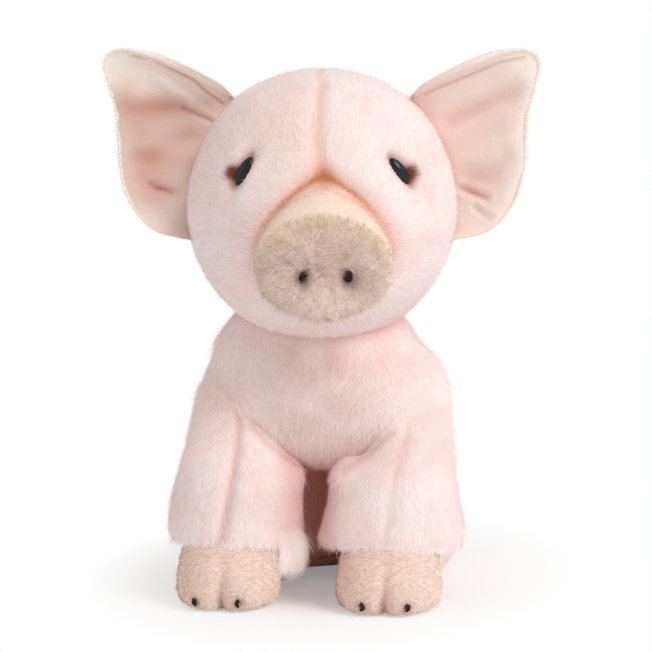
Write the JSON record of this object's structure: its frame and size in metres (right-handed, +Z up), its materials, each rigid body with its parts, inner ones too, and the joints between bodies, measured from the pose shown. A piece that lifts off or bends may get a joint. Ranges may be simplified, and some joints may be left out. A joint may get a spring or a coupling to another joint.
{
  "type": "plush pig",
  "caption": "Sitting plush piglet in pale pink long pile, with large side ears, a domed short-pile snout, beaded eyes and cloven hooves; head, ears, legs and tail bend.",
  "frame": {"origin": "middle of the flat seat, on the surface that the toy sits on", "axes": "+Z up; the toy's chest and front hooves face -Y; its own left is +X"},
  "size_m": [0.1408, 0.1409, 0.1739],
  "materials": {
    "long_pile": "long soft plush pile",
    "short_pile": "short plush pile",
    "lining_pile": "short plush pile, deeper pink",
    "dark_thread": "embroidery thread",
    "pink_thread": "sewing thread",
    "eye_plastic": "polished, dark brown to black",
    "washer_plastic": "plain moulded",
    "fibre": "loose polyester fibre",
    "pellet_cloth": "plain woven bag"
  },
  "bodies": {
    "torso": {"torso_skin": "long_pile", "torso_stuffing": "fibre", "pellet_bag": "pellet_cloth", "closing_seam": "pink_thread"},
    "neck": {"neck_seam": "pink_thread"},
    "head": {"head_skin": "long_pile", "head_stuffing": "fibre", "snout_band": "short_pile", "snout_disc": "short_pile", "snout_stuffing": "fibre", "eye_left": "eye_plastic", "eye_washer_left": "washer_plastic", "nostril_left": "dark_thread", "eye_right": "eye_plastic", "eye_washer_right": "washer_plastic", "nostril_right": "dark_thread"},
    "tail": {"tail": "long_pile"},
    "ear_left": {"ear_back_left": "long_pile", "ear_lining_left": "lining_pile"},
    "front_leg_left": {"front_leg_left": "long_pile", "front_leg_stuffing_left": "fibre", "front_hoof_left": "short_pile", "front_toe_inner_left": "dark_thread", "front_toe_outer_left": "dark_thread"},
    "hind_leg_left": {"hind_leg_left": "long_pile", "hind_leg_stuffing_left": "fibre", "hind_hoof_left": "short_pile", "hind_toe_inner_left": "dark_thread", "hind_toe_outer_left": "dark_thread"},
    "ear_right": {"ear_back_right": "long_pile", "ear_lining_right": "lining_pile"},
    "front_leg_right": {"front_leg_right": "long_pile", "front_leg_stuffing_right": "fibre", "front_hoof_right": "short_pile", "front_toe_inner_right": "dark_thread", "front_toe_outer_right": "dark_thread"},
    "hind_leg_right": {"hind_leg_right": "long_pile", "hind_leg_stuffing_right": "fibre", "hind_hoof_right": "short_pile", "hind_toe_inner_right": "dark_thread", "hind_toe_outer_right": "dark_thread"}
  },
  "joints": [
    {"name": "head_turn", "type": "hinge", "parent": "torso", "child": "neck", "pos_m": [0, -0.026, 0.1225], "axis": [0, -0.2079, 0.9781], "range_deg": [-12, 12], "stiffness_Nm_per_rad": 0.2},
    {"name": "head_nod", "type": "hinge", "parent": "neck", "child": "head", "pos_m": [0, -0.026, 0.1225], "axis": [1, 0, 0], "range_deg": [-8, 8], "stiffness_Nm_per_rad": 0.3},
    {"name": "ear_fold_left", "type": "hinge", "parent": "head", "child": "ear_left", "pos_m": [0.0395, -0.01742, 0.13445], "axis": [0.2813, 0.0395, -0.9588], "range_deg": [-25, 25], "stiffness_Nm_per_rad": 0.005},
    {"name": "ear_fold_right", "type": "hinge", "parent": "head", "child": "ear_right", "pos_m": [-0.04035, -0.02863, 0.13445], "axis": [0.2813, 0.0395, 0.9588], "range_deg": [-25, 25], "stiffness_Nm_per_rad": 0.005},
    {"name": "front_leg_swing_left", "type": "hinge", "parent": "torso", "child": "front_leg_left", "pos_m": [0.033, -0.03, 0.07], "axis": [-1, 0, 0], "range_deg": [0, 25], "stiffness_Nm_per_rad": 0.05},
    {"name": "hind_leg_splay_left", "type": "hinge", "parent": "torso", "child": "hind_leg_left", "pos_m": [0.034, 0.008, 0.04], "axis": [0, -1, 0], "range_deg": [0, 25], "stiffness_Nm_per_rad": 0.03},
    {"name": "front_leg_swing_right", "type": "hinge", "parent": "torso", "child": "front_leg_right", "pos_m": [-0.033, -0.03, 0.07], "axis": [-1, 0, 0], "range_deg": [0, 25], "stiffness_Nm_per_rad": 0.05},
    {"name": "hind_leg_splay_right", "type": "hinge", "parent": "torso", "child": "hind_leg_right", "pos_m": [-0.034, 0.008, 0.04], "axis": [0, 1, 0], "range_deg": [0, 25], "stiffness_Nm_per_rad": 0.03},
    {"name": "tail_lift", "type": "hinge", "parent": "torso", "child": "tail", "pos_m": [0, 0.0468, 0.034], "axis": [1, 0, 0], "range_deg": [-15, 20], "stiffness_Nm_per_rad": 0.0005}
  ]
}
